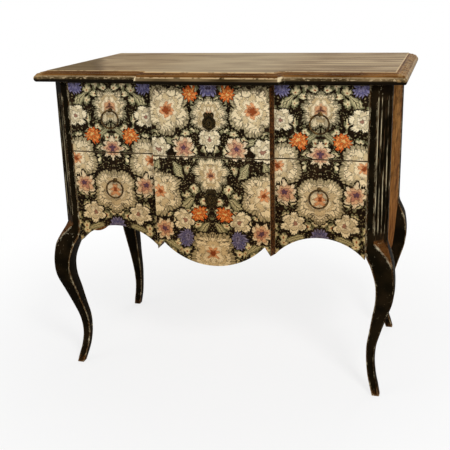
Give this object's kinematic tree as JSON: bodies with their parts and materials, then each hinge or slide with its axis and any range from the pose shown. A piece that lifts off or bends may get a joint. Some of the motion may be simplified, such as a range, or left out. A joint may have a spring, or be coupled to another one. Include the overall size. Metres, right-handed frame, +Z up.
{
  "type": "commode chest of drawers",
  "caption": "Commode chest of drawers with a breakfront, fluted canted corners, cabriole legs, scalloped apron, moulded top, ring pulls and cast escutcheons.",
  "frame": {"origin": "on the floor, under the middle of the overall box", "axes": "+X towards the right of a person facing the drawers, +Y towards the back, +Z up; the drawers open towards -Y"},
  "size_m": [0.968, 0.548, 0.86],
  "materials": {
    "black_paint": "near-black painted wood, edges worn to pale wood",
    "worn_top_wood": "painted wood worn to a grey tan field with a dark moulded edge",
    "side_wood": "warm brown wood with an upright grain, thinly painted",
    "printed_wood": "wood with a floral print in cream, orange and blue on near-black, under old varnish",
    "inner_wood": "bare softwood",
    "aged_brass": "dark aged brass",
    "cast_metal": "dark cast metal, rubbed on its high points",
    "lock_iron": "plain iron"
  },
  "bodies": {
    "carcass": {"top_panel": "worn_top_wood", "leg_front_left": "black_paint", "leg_front_right": "black_paint", "leg_back_left": "black_paint", "leg_back_right": "black_paint", "side_panel_left": "side_wood", "side_panel_right": "side_wood", "back_panel": "inner_wood", "top_front_rail": "inner_wood", "middle_front_rail": "inner_wood", "bottom_front_rail": "inner_wood", "top_back_rail": "inner_wood", "bottom_back_rail": "inner_wood", "strike_plate_upper": "aged_brass", "strike_plate_lower": "aged_brass", "top_side_rail_left": "inner_wood", "top_side_rail_right": "inner_wood", "runner_upper_left": "inner_wood", "runner_upper_right": "inner_wood", "runner_lower_left": "inner_wood", "runner_lower_right": "inner_wood", "dust_panel": "inner_wood"},
    "drawer_upper": {"drawer_upper_front": "printed_wood", "drawer_upper_block": "printed_wood", "drawer_upper_side_left": "inner_wood", "drawer_upper_side_right": "inner_wood", "drawer_upper_bottom": "inner_wood", "drawer_upper_back": "inner_wood", "escutcheon_upper": "cast_metal", "lock_case_upper": "lock_iron", "ring_eye_upper_left": "aged_brass", "ring_eye_upper_right": "aged_brass", "ring_nut_upper_left": "lock_iron", "ring_nut_upper_right": "lock_iron"},
    "drawer_lower": {"drawer_lower_front": "printed_wood", "drawer_lower_block": "printed_wood", "drawer_lower_side_left": "inner_wood", "drawer_lower_side_right": "inner_wood", "drawer_lower_bottom": "inner_wood", "drawer_lower_back": "inner_wood", "escutcheon_lower": "cast_metal", "lock_case_lower": "lock_iron", "ring_eye_lower_left": "aged_brass", "ring_eye_lower_right": "aged_brass", "ring_nut_lower_left": "lock_iron", "ring_nut_lower_right": "lock_iron"},
    "pull_upper_left": {"ring_upper_left": "aged_brass"},
    "pull_upper_right": {"ring_upper_right": "aged_brass"},
    "pull_lower_left": {"ring_lower_left": "aged_brass"},
    "pull_lower_right": {"ring_lower_right": "aged_brass"},
    "bolt_upper": {"lock_bolt_upper": "lock_iron"},
    "bolt_lower": {"lock_bolt_lower": "lock_iron"}
  },
  "joints": [
    {"name": "drawer_upper_slide", "type": "slide", "parent": "carcass", "child": "drawer_upper", "axis": [0, -1, 0], "range_m": [0, 0.32]},
    {"name": "drawer_lower_slide", "type": "slide", "parent": "carcass", "child": "drawer_lower", "axis": [0, -1, 0], "range_m": [0, 0.32]},
    {"name": "ring_upper_left_hinge", "type": "hinge", "parent": "drawer_upper", "child": "pull_upper_left", "pos_m": [-0.278, -0.235, 0.75775], "axis": [-1, 0, 0], "range_deg": [-8, 188]},
    {"name": "ring_upper_right_hinge", "type": "hinge", "parent": "drawer_upper", "child": "pull_upper_right", "pos_m": [0.278, -0.235, 0.75775], "axis": [-1, 0, 0], "range_deg": [-8, 188]},
    {"name": "ring_lower_left_hinge", "type": "hinge", "parent": "drawer_lower", "child": "pull_lower_left", "pos_m": [-0.278, -0.235, 0.56775], "axis": [-1, 0, 0], "range_deg": [-8, 188]},
    {"name": "ring_lower_right_hinge", "type": "hinge", "parent": "drawer_lower", "child": "pull_lower_right", "pos_m": [0.278, -0.235, 0.56775], "axis": [-1, 0, 0], "range_deg": [-8, 188]},
    {"name": "bolt_upper_slide", "type": "slide", "parent": "drawer_upper", "child": "bolt_upper", "axis": [0, 0, 1], "range_m": [0, 0.012]},
    {"name": "bolt_lower_slide", "type": "slide", "parent": "drawer_lower", "child": "bolt_lower", "axis": [0, 0, 1], "range_m": [0, 0.012]}
  ]
}
